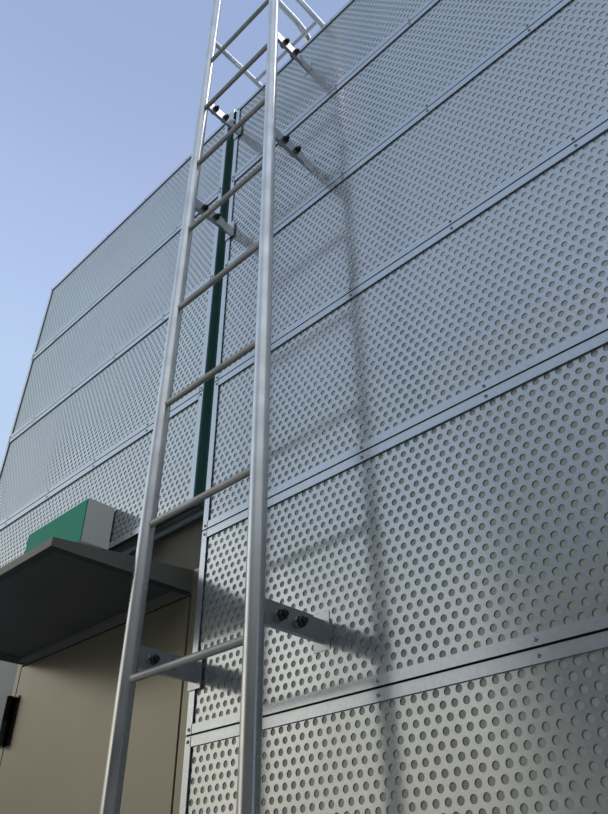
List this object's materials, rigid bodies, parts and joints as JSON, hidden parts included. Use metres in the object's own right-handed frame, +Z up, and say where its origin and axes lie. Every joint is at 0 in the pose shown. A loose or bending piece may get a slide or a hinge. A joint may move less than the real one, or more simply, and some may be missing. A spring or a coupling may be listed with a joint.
{
  "type": "noise barrier section with door bay and step-over ladder",
  "caption": "Noise barrier section of perforated steel cassettes on H posts, with a canopied door and a step-over ladder.",
  "frame": {"origin": "underside of the middle post's base plate, on the centreline of the post", "axes": "+X along the wall to the right as seen from the ladder and door side, +Y into the wall, +Z up"},
  "size_m": [4.65, 0.872, 5.794],
  "materials": {
    "galvanised_sheet": "galvanised steel sheet, matt spangle",
    "post_paint": "dark green paint on steel",
    "door_paint": "olive beige paint on steel",
    "canopy_paint": "dark grey brown paint on steel",
    "hinge_black": "black coated steel",
    "satin_steel": "satin stainless steel",
    "sign_housing": "pale moulded housing",
    "sign_green": "green translucent panel"
  },
  "bodies": {
    "wall": {"door_bay_panel_1": "galvanised_sheet", "door_bay_panel_2": "galvanised_sheet", "door_bay_panel_3": "galvanised_sheet", "door_bay_panel_4": "galvanised_sheet", "bay_1_panel_1": "galvanised_sheet", "bay_1_panel_2": "galvanised_sheet", "bay_1_panel_3": "galvanised_sheet", "bay_1_panel_4": "galvanised_sheet", "bay_1_panel_5": "galvanised_sheet", "bay_1_panel_6": "galvanised_sheet", "bay_1_panel_7": "galvanised_sheet", "bay_1_panel_8": "galvanised_sheet", "bay_1_panel_9": "galvanised_sheet", "bay_2_panel_1": "galvanised_sheet", "bay_2_panel_2": "galvanised_sheet", "bay_2_panel_3": "galvanised_sheet", "bay_2_panel_4": "galvanised_sheet", "bay_2_panel_5": "galvanised_sheet", "bay_2_panel_6": "galvanised_sheet", "bay_2_panel_7": "galvanised_sheet", "bay_2_panel_8": "galvanised_sheet", "bay_2_panel_9": "galvanised_sheet", "door_bay_face_sheets": "galvanised_sheet", "bay_1_face_sheets": "galvanised_sheet", "bay_2_face_sheets": "galvanised_sheet", "post_left": "post_paint", "post_1": "post_paint", "post_2": "post_paint", "post_3": "post_paint", "joint_channels": "post_paint", "channel_caps": "galvanised_sheet", "door_frame": "door_paint", "door_side_panel": "galvanised_sheet", "hinge_frame_halves": "hinge_black", "canopy": "canopy_paint", "sign_box": "sign_housing", "sign_face": "sign_green", "ladder_rails": "satin_steel", "ladder_rungs": "satin_steel", "handrails": "satin_steel", "step_over_frame": "satin_steel", "wall_brackets": "satin_steel"},
    "door": {"door_leaf": "door_paint", "hinge_leaf_halves": "hinge_black", "door_handles": "satin_steel"}
  },
  "joints": [
    {"name": "door_hinge", "type": "hinge", "parent": "wall", "child": "door", "pos_m": [-0.978, -0.1, 1.198], "axis": [0, 0, -1], "range_deg": [0, 100]}
  ]
}
